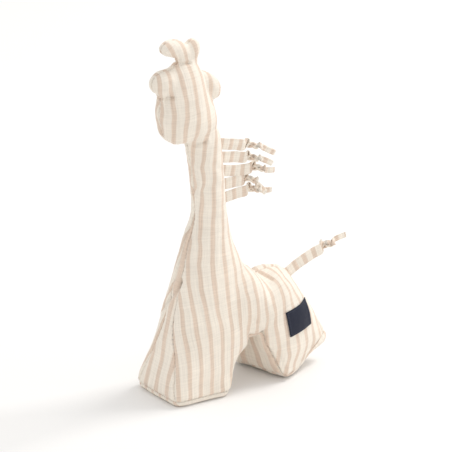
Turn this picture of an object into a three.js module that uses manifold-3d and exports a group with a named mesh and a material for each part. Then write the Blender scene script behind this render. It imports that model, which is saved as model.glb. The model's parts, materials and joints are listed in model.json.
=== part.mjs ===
// A hand-sewn giraffe rattle of striped cloth: a stuffed body of two side panels with gussets and
// soles between them, knotted ribbons for mane and tail, and a rattle capsule in the belly.
// Millimetres. The origin is the middle of the front sole, -X is the way the chest faces, -Y the
// giraffe's left, +Z up.
import * as THREE from 'three';
import { mergeVertices } from 'three/addons/utils/BufferGeometryUtils.js';
import Module from 'manifold-3d';

const wasm = await Module();
wasm.setup();

// Cloth and clearances
const cloth = 1.0;              // thickness of a panel with its interlining
const clearance = 0.3;          // between pieces that touch
const seam = 0.3;               // between the edges of two panels
const soleHeight = 4.5;         // height of the sole's seam above the floor
const soleRound = 3;            // how far the front sole draws in below its seam
const rearSoleRound = 8;        // the rear sole is tucked further under
const flat = 0.5;               // depth of the flat that the floor presses into a sole
const soleDepth = 5;            // how far the uncut feet reach below the floor

// Front block: foot, leg, shoulder and neck, as level sections
const foot = { front: -27, back: 28, half: 31 };
const neck = { front: 9.5, back: 38.5, half: 13.5, foot: 152 };
const throat = { front: 5, back: 33.5, half: 12.8, height: 214 };
const legHeight = 46;

// Shoulder between leg and neck
const shoulder = { height: 96, front: -6.5, back: 53.5, half: 23.5 };

// Arch between the legs
const archTop = { x: 57, z: 47 };

// Rear block: leg and rump
const rearFoot = { front: 73, back: 132, half: 27 };
const heelRise = 19;            // the rear sole's back edge stands off the floor
const heelStart = 92;           // where the rear sole leaves the floor
const rumpHeight = 89;
const tailRoot = { x: 99.3, z: 80 };

// Where the filling of one part of the body meets the next
const split = { front: 40, legTop: 62, withers: 112, rear: 80, rearLow: 62, hip: 50, belly: 30 };

// Gussets: half the width of each at the sole, and the share that is left at some heights
const chestGusset = {
  half: 27.5,
  levels: [0, 34, 64, shoulder.height, 128, neck.foot],
  shares: [1, 0.6, 0.29, 0.17, 0.11, 0.01],
};
const rumpGusset = { half: 8, levels: [0, 30, 60, 79], shares: [1, 0.7, 0.35, 0.02] };
const bellyHalf = { foot: 25.5, roof: 22.5 };

// Head, ears and horns, with their heights above the throat
const headSize = { front: -25, back: 31, half: 15.5, low: 0.5, high: 70 };
const frontEar = { root: [-4, 50], bend: [-18, 60], tip: [-29.5, 49], radius: 11.4, flat: 0.85 };
const rearEar = { root: [8, 48], bend: [24, 50], tip: [31, 26], radius: 7.8, flat: 0.75 };
const frontHorn = { root: [2, 60], bend: [3, 88], tip: [-25, 81.5], radius: 8.2, flat: 0.9 };
const rearHorn = { root: [5, 59], bend: [6.5, 75], tip: [10.5, 87.5], radius: 7.2, flat: 0.85 };
const earWidths = [0.75, 0.9, 1, 1, 0.95, 0.9];
const hornWidths = [0.78, 0.8, 0.9, 1, 1, 0.98];
const lobeCap = 0.7;            // share of a lobe's length where its rounded end begins

// Mane and tail
const ribbon = { width: 9.5, thick: 2.0, length: 50, knotAt: 27, knot: 4.2 };
const ribbonGap = 0.5;          // a ribbon's root stands this far off its seam, to turn freely
const maneCount = 5;
const manePitch = 11.7;
const maneTop = throat.height - 9.5; // height of the top ribbon's middle
const maneDroop = [23, 21, 17, 13, 10];
const tail = { width: 10.5, thick: 2.2, length: 61, knotAt: 44, knot: 4.6, rise: 18, seamLean: 31 };
const tailLift = -1;            // the tail bends up a little

// Rattle in the belly
const capsule = { x: 60, z: 67, radius: 15, height: 18, wall: 1.2, lip: 2, bevel: 2, fillet: 1 };
const bead = { radius: 2.5, count: 4, ring: 6 };

// Label on the left of the rump
const label = { x: 95.3, z: 49.5, width: 24, height: 21, turn: 9, thick: 0.8 };

// Colours
const cream = new THREE.Color(0.93, 0.88, 0.80);
const beige = new THREE.Color(0.82, 0.72, 0.62);
const wadding = new THREE.Color(0.95, 0.95, 0.93);
const navy = new THREE.Color(0.07, 0.08, 0.16);
const capsuleWhite = new THREE.Color(0.90, 0.90, 0.88);
const beadRed = new THREE.Color(0.75, 0.25, 0.20);

const material = (color, roughness) => new THREE.MeshStandardMaterial({ color, roughness, metalness: 0 });

// Cutters
const reach = 400;              // longer than the toy
const belowFloor = -10;

// A smooth curve through values at given places, without overshoot between equal values
function through(places, values, at) {
  const last = places.length - 1;
  if (at <= places[0]) return values[0];
  if (at >= places[last]) return values[last];
  const i = places.findIndex((place, k) => k < last && at < places[k + 1]);
  const slope = (k) => {
    if (k <= 0 || k >= last) return 0;
    const before = (values[k] - values[k - 1]) / (places[k] - places[k - 1]);
    const after = (values[k + 1] - values[k]) / (places[k + 1] - places[k]);
    return before * after <= 0 ? 0 : 2 * before * after / (before + after);
  };
  const span = places[i + 1] - places[i];
  const t = (at - places[i]) / span;
  const start = i === 0 ? (values[1] - values[0]) / span : slope(i);
  const end = i + 1 === last ? (values[last] - values[last - 1]) / span : slope(i + 1);
  const t2 = t * t, t3 = t2 * t;
  return (2 * t3 - 3 * t2 + 1) * values[i] + (t3 - 2 * t2 + t) * span * start
    + (3 * t2 - 2 * t3) * values[i + 1] + (t3 - t2) * span * end;
}

// A closed mesh over rings of equal length, with a fan at each end
function skinOver(rings) {
  const sides = rings[0].length;
  const middle = (ring) => ring.reduce((sum, p) => sum.add(p), new THREE.Vector3()).divideScalar(sides);
  const points = [...rings.flat(), middle(rings[0]), middle(rings[rings.length - 1])];
  const faces = [];
  for (let r = 0; r + 1 < rings.length; r++) {
    for (let s = 0; s < sides; s++) {
      const a = r * sides + s, b = r * sides + (s + 1) % sides;
      faces.push(a, b, b + sides, a, b + sides, a + sides);
    }
  }
  const top = (rings.length - 1) * sides;
  for (let s = 0; s < sides; s++) {
    faces.push(points.length - 2, (s + 1) % sides, s, points.length - 1, top + s, top + (s + 1) % sides);
  }
  const geometry = new THREE.BufferGeometry().setFromPoints(points);
  geometry.setIndex(faces);
  return geometry;
}

// A swelling column: each station gives a section's front, back and half-width, how square its
// front and back halves are, and how far back it is widest, as a share of its length
function column(stations, levels, sides, place) {
  const at = stations.map((station) => station.at);
  const value = (key, level) => through(at, stations.map((station) => station[key]), level);
  const rings = levels.map((level) => {
    const front = value('front', level), back = value('back', level);
    const middle = front + value('widest', level) * (back - front);
    return Array.from({ length: sides }, (_, s) => {
      const angle = 2 * Math.PI * s / sides;
      const forward = Math.cos(angle) < 0;
      const power = 2 / value(forward ? 'square' : 'squareBack', level);
      const bulge = (n) => Math.sign(n) * Math.abs(n) ** power;
      const along = middle + bulge(Math.cos(angle)) * (forward ? middle - front : back - middle);
      return place(along, bulge(Math.sin(angle)) * value('half', level), level);
    });
  });
  return skinOver(rings);
}

// One section of a column, round and widest in its middle unless told otherwise
const section = (at, front, back, half, square = 2, squareBack = square, widest = 0.5) => (
  { at, front, back, half, square, squareBack, widest });

// Levels between two ends, closer together near both
const spread = (low, high, count) => Array.from({ length: count },
  (_, i) => low + (high - low) * (1 - Math.cos(Math.PI * i / (count - 1))) / 2);

// A rounded lobe along a bent centre line in the middle plane
function lobe({ root, bend, tip, radius, flat }, widths, sides, count) {
  const line = new THREE.QuadraticBezierCurve3(
    ...[root, bend, tip].map(([x, z]) => new THREE.Vector3(x, 0, throat.height + z)),
  );
  const steps = Array.from({ length: count }, (_, i) => Math.sin(Math.PI / 2 * i / (count - 1)));
  const across = new THREE.Vector3(0, 1, 0);
  const rings = steps.map((t) => {
    const middle = line.getPoint(t);
    const up = new THREE.Vector3().crossVectors(line.getTangent(t), across).normalize();
    const cap = Math.max(0, (t - lobeCap) / (1 - lobeCap));
    const size = radius * through(widths.map((_, i) => i / (widths.length - 1)), widths, t)
      * Math.sqrt(1 - 0.98 * cap ** 2);
    return Array.from({ length: sides }, (_, s) => {
      const angle = -2 * Math.PI * s / sides;
      return middle.clone().addScaledVector(up, size * Math.cos(angle))
        .addScaledVector(across, size * flat * Math.sin(angle));
    });
  });
  return skinOver(rings);
}

// The same surface moved out by a distance, or in where it is negative
function grown(geometry, distance) {
  const position = geometry.getAttribute('position'), index = geometry.getIndex();
  const corner = (i) => new THREE.Vector3().fromBufferAttribute(position, index.getX(i));
  const normals = Array.from({ length: position.count }, () => new THREE.Vector3());
  const faces = Array.from({ length: position.count }, () => []);
  for (let i = 0; i < index.count; i += 3) {
    const [a, b, c] = [corner(i), corner(i + 1), corner(i + 2)];
    const face = b.sub(a).cross(c.sub(a));
    if (face.length() < 1e-9) continue;
    for (const k of [0, 1, 2]) {
      normals[index.getX(i + k)].add(face);
      faces[index.getX(i + k)].push(face.clone().normalize());
    }
  }
  const moved = normals.map((normal, i) => {
    normal.normalize();
    const lean = faces[i].reduce((sum, face) => sum + face.dot(normal), 0) / faces[i].length;
    return new THREE.Vector3().fromBufferAttribute(position, i)
      .addScaledVector(normal, distance / Math.max(lean, 0.6));
  });
  const result = new THREE.BufferGeometry().setFromPoints(moved);
  result.setIndex(geometry.getIndex().clone());
  return result;
}

// The same surface with its faces turned to the other side
function turnedOut(geometry) {
  const index = geometry.getIndex()?.array ?? [...Array(geometry.getAttribute('position').count).keys()];
  return geometry.clone().setIndex(Array.from(index).reverse());
}

// Solids for joining and cutting
function solid(geometry) {
  const bare = geometry.clone();
  bare.deleteAttribute('normal');
  bare.deleteAttribute('uv');
  const merged = mergeVertices(bare, 1e-4);
  return new wasm.Manifold(new wasm.Mesh({
    numProp: 3,
    vertProperties: new Float32Array(merged.getAttribute('position').array),
    triVerts: new Uint32Array(merged.getIndex().array),
  }));
}

const joined = (solids) => solids.reduce((sum, next) => sum.add(next));

// The largest separate body of a solid, so that slivers of a cut are dropped
const largest = (cut) => cut.decompose()
  .reduce((best, next) => (next.volume() > best.volume() ? next : best));

function geometryOf(cut) {
  const mesh = cut.getMesh();
  const geometry = new THREE.BufferGeometry();
  geometry.setAttribute('position', new THREE.BufferAttribute(Float32Array.from(mesh.vertProperties), 3));
  geometry.setIndex(new THREE.BufferAttribute(Uint32Array.from(mesh.triVerts), 1));
  return geometry;
}

// A prism over an outline in a plane, carried to the place that a function gives for its two ends
function prism(outline, place) {
  const shape = new THREE.Shape(outline.map(([a, b]) => new THREE.Vector2(a, b)));
  const geometry = new THREE.ExtrudeGeometry(shape, { depth: 1, bevelEnabled: false });
  const position = geometry.getAttribute('position');
  for (let i = 0; i < position.count; i++) {
    position.setXYZ(i, ...place(position.getX(i), position.getY(i), position.getZ(i)));
  }
  const cutter = solid(geometry);
  return cutter.volume() > 0 ? cutter : solid(turnedOut(geometry));
}

// Stuffed forms, each a smooth closed surface of the finished toy
const upright = (along, across, level) => new THREE.Vector3(along, across, level);

const frontStations = [
  section(-soleDepth, foot.front + soleRound, foot.back - soleRound, foot.half - soleRound, 9),
  section(-flat, foot.front + soleRound, foot.back - soleRound, foot.half - soleRound, 9),
  section(soleHeight, foot.front, foot.back, foot.half, 9),
  section(legHeight * 0.5, foot.front + 3, foot.back + 5, foot.half - 0.5, 4.5, 6),
  section(legHeight * 0.75, foot.front + 6, foot.back + 10, foot.half - 2, 3.4, 5),
  section(legHeight, foot.front + 8, foot.back + 19, foot.half - 3, 2.8, 3.6),
  section(70, foot.front + 13, shoulder.back + 0.5, shoulder.half + 3, 2.4),
  section(shoulder.height, shoulder.front, shoulder.back, shoulder.half, 2.2),
  section(126, 1, 43, 18),
  section(neck.foot, neck.front, neck.back, neck.half),
  section(throat.height, throat.front, throat.back, throat.half),
  section(throat.height + 14, throat.front + 4, throat.back - 6, throat.half - 5),
];
const frontLevels = [-soleDepth, -flat, soleHeight, 14, 26, 36, legHeight, 60, 78, shoulder.height, 112,
  130, neck.foot, (neck.foot + throat.height) / 2, throat.height, throat.height + 14];
const frontBlock = column(frontStations, frontLevels, 20, upright);

// The rear block stands on its front edge: its heel is lifted by a slope that fades with height
const lift = (along) => heelRise * Math.max(0, along - heelStart) / (rearFoot.back - heelStart);
const heeled = (along, across, level) => new THREE.Vector3(
  along, across, level + lift(along) * (1 - level / rumpHeight));
const rearSole = [rearFoot.front, rearFoot.back - 2 * rearSoleRound, rearFoot.half - 2 * rearSoleRound]
  .map((edge) => edge + rearSoleRound);
const rearStations = [
  section(-soleDepth, ...rearSole, 1.8, 1.25, 0.14),
  section(-flat, ...rearSole, 1.8, 1.25, 0.14),
  section(soleHeight, rearFoot.front, rearFoot.back, rearFoot.half, 1.8, 1.25, 0.13),
  section(20, rearFoot.front - 6, rearFoot.back - 4, rearFoot.half + 0.5, 3.5, 1.4, 0.26),
  section(40, rearFoot.front - 14, rearFoot.back - 11.5, rearFoot.half + 0.5, 4, 1.75, 0.4),
  section(60, 57, 110, 25, 2.6, 2, 0.45),
  section(75, 60, 102, 19),
  section(84, 63, 96.5, 11.5),
  section(rumpHeight, 70, 91, 4),
];
const rearLevels = [-soleDepth, -flat, soleHeight, 14, 27, 40, 54, 67, 78, 85, rumpHeight];
const rearBlock = column(rearStations, rearLevels, 20, heeled);

// The body lies across the legs: its sections stand upright, from the arch to the back
const barrel = column([
  section(14, 56, 84, 14, 2.2),
  section(30, 47, 101, 24, 2.6, 2.2),
  section(46, archTop.z - 1, 103, 27, 3, 2),
  section(archTop.x, archTop.z, 97.5, 27.5, 3, 2),
  section(69.5, archTop.z - 3, 86.5, 26.5, 3, 2),
  section(81, archTop.z - 5, 90, 25, 2.8, 2),
  section(93, archTop.z - 1, 83, 20, 2.4, 2),
  section(102, 54, 72, 10),
], [14, 24, 36, 47, archTop.x, 69.5, 81, 93, 102], 18,
(along, across, level) => new THREE.Vector3(level, -across, along));

const above = (height) => throat.height + height;
const headBall = column([
  section(above(headSize.low), -13, 12, 5),
  section(above(headSize.low + 3.5), -20, 24, 11, 2.2, 2),
  section(above(12), -24, headSize.back, headSize.half - 1, 2.3, 2),
  section(above(26), headSize.front, 28, headSize.half, 2.3, 2),
  section(above(42), -21.5, 20.5, headSize.half - 0.5, 2.2, 2),
  section(above(55), -17.5, 17, 13),
  section(above(headSize.high - 5), -13, 13, 9),
  section(above(headSize.high), -6, 8, 4),
], spread(above(headSize.low), above(headSize.high), 9), 18, upright);

const forms = {
  front_leg: frontBlock,
  rear_leg: rearBlock,
  body: barrel,
  head: headBall,
  front_ear: lobe(frontEar, earWidths, 10, 6),
  rear_ear: lobe(rearEar, earWidths, 10, 6),
  front_horn: lobe(frontHorn, hornWidths, 10, 7),
  rear_horn: lobe(rearHorn, hornWidths, 10, 6),
};

// Everything below the floor, or below the line of the raised heel, moved up by a distance
const under = (rise) => prism([[-reach, -reach], [reach, -reach], [reach, lift(reach) + rise],
  [heelStart, rise], [-reach, rise]], (x, z, end) => [x, (end - 0.5) * reach, z]);
const formed = (names, distance) => joined(names.map((name) => solid(grown(forms[name], distance))))
  .subtract(under(-distance));
const whole = Object.keys(forms);
const skin = formed(whole, 0).subtract(formed(whole, -cloth));

// Cutters for the panels: wide prisms whose edges are the seams
const belowSeam = (extra) => under(soleHeight + extra);

// Wedges in the front and rear view, whose inner end lies inside the hollow of the skin and leans
// with the cloth
const chestDepth = { x: 0, lean: 0.14 };
const rumpDepth = { x: 104, lean: -0.25 };
const wedge = ({ half, levels, shares }, extra) => {
  const edge = levels.map((z, i) => [half * shares[i] + extra, z === 0 ? belowFloor : z]);
  return [...edge, ...edge.slice().reverse().map(([y, z]) => [-y, z])];
};
const chestWedge = (extra) => prism(wedge(chestGusset, extra),
  (y, z, end) => [end === 0 ? -reach : chestDepth.x + chestDepth.lean * z, y, z]);
const rumpWedge = (extra) => prism(wedge(rumpGusset, extra),
  (y, z, end) => [end === 0 ? reach : rumpDepth.x + rumpDepth.lean * z, y, z]);

// The arch between the legs in the side view, with the hollows of both legs beside it
const archOutline = [[21, belowFloor], [24, 18], [28, 34], [38, 48], [50, 53], [60, 53], [70, 42], [80, 22],
  [86, soleHeight], [90, belowFloor]];
const archWedge = (extra) => prism(archOutline, (x, z, end) => {
  const half = bellyHalf.foot + (bellyHalf.roof - bellyHalf.foot) * Math.min(1, Math.max(0, z / archTop.z));
  return [x, (end * 2 - 1) * (half + extra), z];
});
const side = (sign) => prism([[-reach, -reach], [reach, -reach], [reach, reach], [-reach, reach]],
  (a, b, end) => [a, sign * (end === 0 ? seam / 2 : reach), b]);

const soleCut = belowSeam(seam / 2);
const gussetCut = joined([chestWedge(seam / 2), rumpWedge(seam / 2), archWedge(seam / 2), soleCut]);
const panels = {
  left_side_panel: skin.intersect(side(-1)).subtract(gussetCut),
  right_side_panel: skin.intersect(side(1)).subtract(gussetCut),
  chest_gusset: skin.intersect(chestWedge(-seam / 2)).subtract(soleCut),
  belly_gusset: skin.intersect(archWedge(-seam / 2)).subtract(soleCut),
  rump_gusset: skin.intersect(rumpWedge(-seam / 2)).subtract(soleCut),
  front_sole: skin.intersect(belowSeam(-seam / 2)).trimByPlane([-1, 0, 0], -archTop.x),
  rear_sole: skin.intersect(belowSeam(-seam / 2)).trimByPlane([1, 0, 0], archTop.x),
};

// Filling: the trunk is parted by upright and level planes, and the lobes are cut back from the head
const filled = (name) => formed([name], -cloth - clearance);
const lining = (name) => formed([name], -cloth);
const trunk = formed(['front_leg', 'body', 'rear_leg', 'head'], -cloth - clearance);
const cell = (outline) => {
  const middle = [0, 1].map((k) => outline.reduce((sum, point) => sum + point[k], 0) / outline.length);
  const inward = (from, to) => from + Math.sign(to - from) * clearance / 2;
  return trunk.intersect(prism(outline, (x, z, end) => [inward(x, middle[0]), (end - 0.5) * reach,
    inward(z, middle[1])]));
};

function cylinder(radius, low, high) {
  const geometry = new THREE.CylinderGeometry(radius, radius, high - low, 24);
  geometry.rotateX(Math.PI / 2).translate(capsule.x, 0, (low + high) / 2);
  return solid(geometry);
}
const capsuleFloor = capsule.z - capsule.height / 2, capsuleTop = capsule.z + capsule.height / 2;
const pocket = cylinder(capsule.radius + clearance, 0, capsuleTop + clearance);
const bodyCell = cell([[split.front, split.belly], [split.rearLow, split.belly], [split.rearLow, split.hip],
  [split.rear, split.hip], [split.rear, split.withers], [split.front, split.withers]]);
const fillings = {
  front_leg_filling: cell([[-reach, belowFloor], [split.front, belowFloor], [split.front, split.legTop],
    [-reach, split.legTop]]),
  shoulder_filling: cell([[-reach, split.legTop], [split.front, split.legTop], [split.front, split.withers],
    [reach, split.withers], [reach, neck.foot], [-reach, neck.foot]]),
  neck_filling: cell([[-reach, neck.foot], [reach, neck.foot], [reach, throat.height],
    [-reach, throat.height]]),
  head_filling: cell([[-reach, throat.height], [reach, throat.height], [reach, reach], [-reach, reach]]),
  body_filling: bodyCell.subtract(pocket),
  filling_plug: bodyCell.intersect(cylinder(capsule.radius, 0, capsuleFloor - clearance)),
  rear_leg_filling: cell([[split.rearLow, belowFloor], [reach, belowFloor], [reach, split.withers],
    [split.rear, split.withers], [split.rear, split.hip], [split.rearLow, split.hip]]),
  front_ear_filling: filled('front_ear').subtract(lining('head')),
  rear_ear_filling: filled('rear_ear').subtract(lining('head')),
  front_horn_filling: filled('front_horn').subtract(lining('head')),
  rear_horn_filling: filled('rear_horn').subtract(lining('head')).subtract(lining('front_horn')),
};

// Rattle capsule: two cups whose rims meet, the upper one with a lip inside the lower
function cup(floor, rim, lip) {
  const up = Math.sign(rim - floor);
  const { radius, wall, bevel, fillet } = capsule;
  const inner = radius - wall, spigot = inner - clearance;
  const profile = [[0, floor], [radius - bevel, floor], [radius, floor + bevel * up], [radius, rim]];
  if (lip > 0) {
    profile.push([spigot, rim], [spigot, rim + lip * up], [spigot - wall, rim + lip * up],
      [spigot - wall, rim - wall * up], [inner, rim - 2 * wall * up]);
  } else profile.push([inner, rim]);
  profile.push([inner, floor + (wall + fillet) * up], [inner - fillet, floor + wall * up],
    [0, floor + wall * up]);
  const geometry = new THREE.LatheGeometry(profile.map(([r, z]) => new THREE.Vector2(r, z)), 18);
  geometry.rotateX(Math.PI / 2).translate(capsule.x, 0, 0);
  const made = solid(geometry);
  return made.volume() > 0 ? made : solid(turnedOut(geometry));
}
const lowerCup = cup(capsuleFloor, capsule.z - clearance / 2, 0);
const upperCup = cup(capsuleTop, capsule.z + clearance / 2, capsule.lip);
const beadGeometry = new THREE.IcosahedronGeometry(bead.radius, 1);
const beadHeight = capsuleFloor + capsule.wall + clearance + bead.radius;

// A knotted ribbon that lies along +X with its width upright, its root rounded about the seam
function knotted({ width, thick, length, knotAt, knot }, droop, slant) {
  const sag = (along) => -droop * (Math.max(0, along) / length) ** 1.3;
  const places = [-0.5 * thick, -0.35 * thick, 0, 0.3 * knotAt, 0.62 * knotAt, knotAt - knot, knotAt - 1,
    knotAt + knot - 1, 0.55 * (length + knotAt), length - 3, length];
  const halves = [width / 2 - 0.4, width / 2, width / 2, width / 2, width * 0.44, knot * 0.5, knot * 0.8,
    knot * 0.5, width * 0.3, width * 0.34, width * 0.3];
  const depths = [0.15, 0.36, 0.5, 0.5, 0.62, 1, 1.5, 0.9, 0.6, 0.5, 0.35].map((share) => share * thick);
  const rings = places.map((along, i) => Array.from({ length: 8 }, (_, s) => {
    const angle = 2 * Math.PI * (s + 0.5) / 8;
    const round = (n) => Math.sign(n) * Math.abs(n) ** 0.55;
    const up = halves[i] * round(Math.sin(angle));
    const root = Math.max(0, 1 - along / (0.5 * knotAt));
    const across = depths[i] * round(Math.cos(angle));
    return new THREE.Vector3(along - slant * up * root, across, sag(along) + up);
  }));
  const band = new THREE.TorusGeometry(knot * 0.72, knot * 0.34, 5, 8);
  band.rotateY(Math.PI / 2 - 0.5);
  band.translate(knotAt, 0, sag(knotAt));
  return geometryOf(solid(skinOver(rings)).add(solid(band)));
}

// Label: a patch that follows the rump, cut from a layer just above the cloth
function labelPatch() {
  const layer = formed(whole, clearance + label.thick).subtract(formed(whole, clearance));
  const turn = THREE.MathUtils.degToRad(label.turn);
  const corners = [[-1, -1], [1, -1], [1, 1], [-1, 1]].map(([a, b]) => {
    const corner = new THREE.Vector2(a * label.width / 2, b * label.height / 2);
    return corner.rotateAround(new THREE.Vector2(), turn).add(new THREE.Vector2(label.x, label.z)).toArray();
  });
  return largest(layer.intersect(prism(corners, (a, b, end) => [a, -end * reach, b])));
}

// The toy
const toy = new THREE.Group();
function add(name, geometry, finish, parent = toy) {
  const mesh = new THREE.Mesh(geometry, finish);
  mesh.name = name;
  parent.add(mesh);
  return mesh;
}

const clothFinish = material(cream, 0.9);
const ribbonFinish = material(beige, 0.9);
const fillFinish = material(wadding, 1);
for (const [name, panel] of Object.entries(panels)) add(name, geometryOf(largest(panel)), clothFinish);
for (const [name, filling] of Object.entries(fillings)) add(name, geometryOf(largest(filling)), fillFinish);
add('lower_capsule_half', geometryOf(lowerCup), material(capsuleWhite, 0.5));
add('upper_capsule_half', geometryOf(upperCup), material(capsuleWhite, 0.5));
for (let i = 0; i < bead.count; i++) {
  const angle = 2 * Math.PI * (i + 0.5) / bead.count;
  add(`bead_${i + 1}`, beadGeometry, material(beadRed, 0.4))
    .position.set(capsule.x + bead.ring * Math.cos(angle), bead.ring * Math.sin(angle), beadHeight);
}
add('label', geometryOf(labelPatch()), material(navy, 0.8));

// Mane ribbons stand off the seam at the back of the neck by the clearance
const napeAt = (level) => through(frontStations.map((station) => station.at),
  frontStations.map((station) => station.back), level);
const neckLean = Math.atan2(napeAt(neck.foot) - napeAt(throat.height), throat.height - neck.foot);
for (let i = 0; i < maneCount; i++) {
  const height = maneTop - i * manePitch;
  const holder = new THREE.Group();
  holder.position.set(napeAt(height) + ribbonGap + ribbon.thick / 2, 0, height);
  holder.rotation.y = -neckLean;
  toy.add(holder);
  add(`mane_ribbon_${i + 1}`, knotted(ribbon, maneDroop[i], 0), ribbonFinish, holder);
}

// The tail rises from the seam at the top of the rump, and its root is cut to the seam's slope
const seamLean = THREE.MathUtils.degToRad(tail.seamLean), rise = THREE.MathUtils.degToRad(tail.rise);
const tailGap = ribbonGap + tail.thick / 2;
const tailHolder = new THREE.Group();
tailHolder.position.set(tailRoot.x + tailGap * Math.cos(seamLean), 0,
  tailRoot.z + tailGap * Math.sin(seamLean));
tailHolder.rotation.y = -rise;
toy.add(tailHolder);
add('tail_ribbon', knotted(tail, tailLift, Math.tan(seamLean - rise)), ribbonFinish, tailHolder);

export default toy;
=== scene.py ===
"""A stuffed giraffe rattle of striped linen: its sewn body, knotted mane and tail, and label.

The forms are written in millimetres in the frame's axes, and become metres when a piece is made.
-X is the way the chest faces, -Y the giraffe's left, +Z up.
"""
import json
import math

import bmesh
import bpy
import numpy as np
from mathutils import Matrix, Vector, noise
from mathutils.bvhtree import BVHTree
from mathutils.kdtree import KDTree


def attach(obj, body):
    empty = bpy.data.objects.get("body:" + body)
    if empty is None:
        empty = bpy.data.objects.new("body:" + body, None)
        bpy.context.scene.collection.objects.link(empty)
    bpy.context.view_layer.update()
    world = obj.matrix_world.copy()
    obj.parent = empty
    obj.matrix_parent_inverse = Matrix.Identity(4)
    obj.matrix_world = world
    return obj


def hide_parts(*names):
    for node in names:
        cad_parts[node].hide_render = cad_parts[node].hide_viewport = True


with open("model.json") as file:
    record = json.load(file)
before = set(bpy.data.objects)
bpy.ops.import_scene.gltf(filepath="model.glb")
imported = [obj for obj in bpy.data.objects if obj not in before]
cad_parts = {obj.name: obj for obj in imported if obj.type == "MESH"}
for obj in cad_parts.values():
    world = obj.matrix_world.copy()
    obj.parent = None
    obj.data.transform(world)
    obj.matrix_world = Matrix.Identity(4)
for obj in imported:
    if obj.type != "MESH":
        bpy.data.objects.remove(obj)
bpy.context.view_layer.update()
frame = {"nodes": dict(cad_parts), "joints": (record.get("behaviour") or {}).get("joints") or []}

MM = 0.001
SIDEWAYS = Vector((0, 1, 0))
UPWARDS = Vector((0, 0, 1))

# Driving sizes of the stuffed body, those of the frame's solids
FOOT = {"front": -27.0, "back": 28.0, "half": 31.0}
SHOULDER = {"front": -6.5, "back": 53.5, "half": 23.5, "height": 96.0}
NECK = {"front": 9.5, "back": 38.5, "half": 13.5, "foot": 152.0}
THROAT = {"front": 5.0, "back": 33.5, "half": 12.8, "height": 214.0}
NECK_IN_HEAD = 14.0
LEG_HEIGHT = 46.0
ARCH = {"x": 57.0, "z": 47.0}
REAR_FOOT = {"front": 73.0, "back": 132.0, "half": 27.0}
HEEL_RISE = 19.0
HEEL_START = 92.0
RUMP_HEIGHT = 89.0
BARREL_ENDS = (14.0, 102.0)
SOLE_SEAM = 4.5
SOLE_ROUND = 3.0
REAR_SOLE_ROUND = 8.0
HEAD = {"front": -25.0, "back": 31.0, "half": 15.5, "low": 214.5, "high": 284.0}

# Heights of the rings round a sole, where those above them begin, and how its end is closed
SOLE_LEVELS = [0, 1.5, 3, SOLE_SEAM]
ABOVE_SOLE = 7
END_SHRINKS = (0.3, 0.65)

# Gussets, as the photograph shows them: half the width at the sole, and how it narrows upwards
CHEST_HALF = 27.5
CHEST_LEVELS = (0, 34, 64, SHOULDER["height"], 128, NECK["foot"])
CHEST_SHARES = (1.03, 0.6, 0.23, 0.155, 0.11, 0.01)
RUMP_HALF = 8.0
RUMP_LEVELS = (0, 30, 60, 79)
RUMP_SHARES = (1, 0.7, 0.35, 0.02)
BELLY_FOOT_HALF = 25.5
BELLY_ROOF_HALF = 20.5
ARCH_OUTLINE = (
    (21, -10), (24, 18), (27, 34), (35, 52), (48, 59),
    (61, 58), (71, 45), (80, 22), (86, 4), (90, -10),
)
# How far the chest's and the rump's cloth can reach along X: at the floor, and its slope upwards
CHEST_REACH = (5, 0.14)
RUMP_REACH = (104, -0.25)

# Lobes of the head, along bent lines in the middle plane
EAR_WIDTHS = (0.75, 0.9, 1, 1, 0.95, 0.9)
HORN_WIDTHS = (0.78, 0.8, 0.9, 1, 1, 0.98)
FRONT_EAR = {"line": ((-4, 264), (-18, 274), (-29.5, 263)), "radius": 11.4, "flat": 0.85}
REAR_EAR = {"line": ((8, 265), (24.5, 269), (32.5, 244.5)), "radius": 7.8, "flat": 0.75}
FRONT_HORN = {"line": ((2, 274), (2.5, 302), (-23.5, 297)), "radius": 7.9, "flat": 0.9}
REAR_HORN = {"line": ((5, 273), (6.5, 289), (10.5, 301.5)), "radius": 7.2, "flat": 0.85}
LOBE_CAP = 0.7
LOBE_CLOSED = 0.99

# The skin, sewn from these panels
PANELS = ("left_side", "right_side", "chest", "belly", "rump", "front_sole", "rear_sole")
CLOTH_THICKNESS = 1.0
SKIN_STEP = 1.9
FLOOR_GAP = 0.05
# Its cuts: how near a point is drawn onto a seam, when it lies on it, and the slopes of a true crossing
SEAM_SNAP = 0.32 * SKIN_STEP
ON_LINE = 0.03
FIELD_STEP = 0.05
LEAST_SLOPE = 0.3
STEEPEST_SLOPE = 3

# Striped cloth
CLOTH_MAP = "cloth"
STRIPE_PITCH = 10.4
STRIPE_SHARE = 0.36
THREAD = 0.62
CREAM = (0.905, 0.835, 0.74, 1)
BEIGE = (0.775, 0.635, 0.525, 1)
GRAIN_PLANES = {
    "left_side": (0, 2), "right_side": (0, 2), "chest": (1, 2), "belly": (1, 2), "rump": (1, 2),
    "front_sole": (1, 0), "rear_sole": (1, 0),
}
# How far apart the gussets' stripes lie beside those of the side panels, and where one lies
GUSSET_GRAIN = {"chest": (0.72, -1.0), "belly": (0.66, -6.0), "rump": (1.0, 0.0)}
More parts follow.
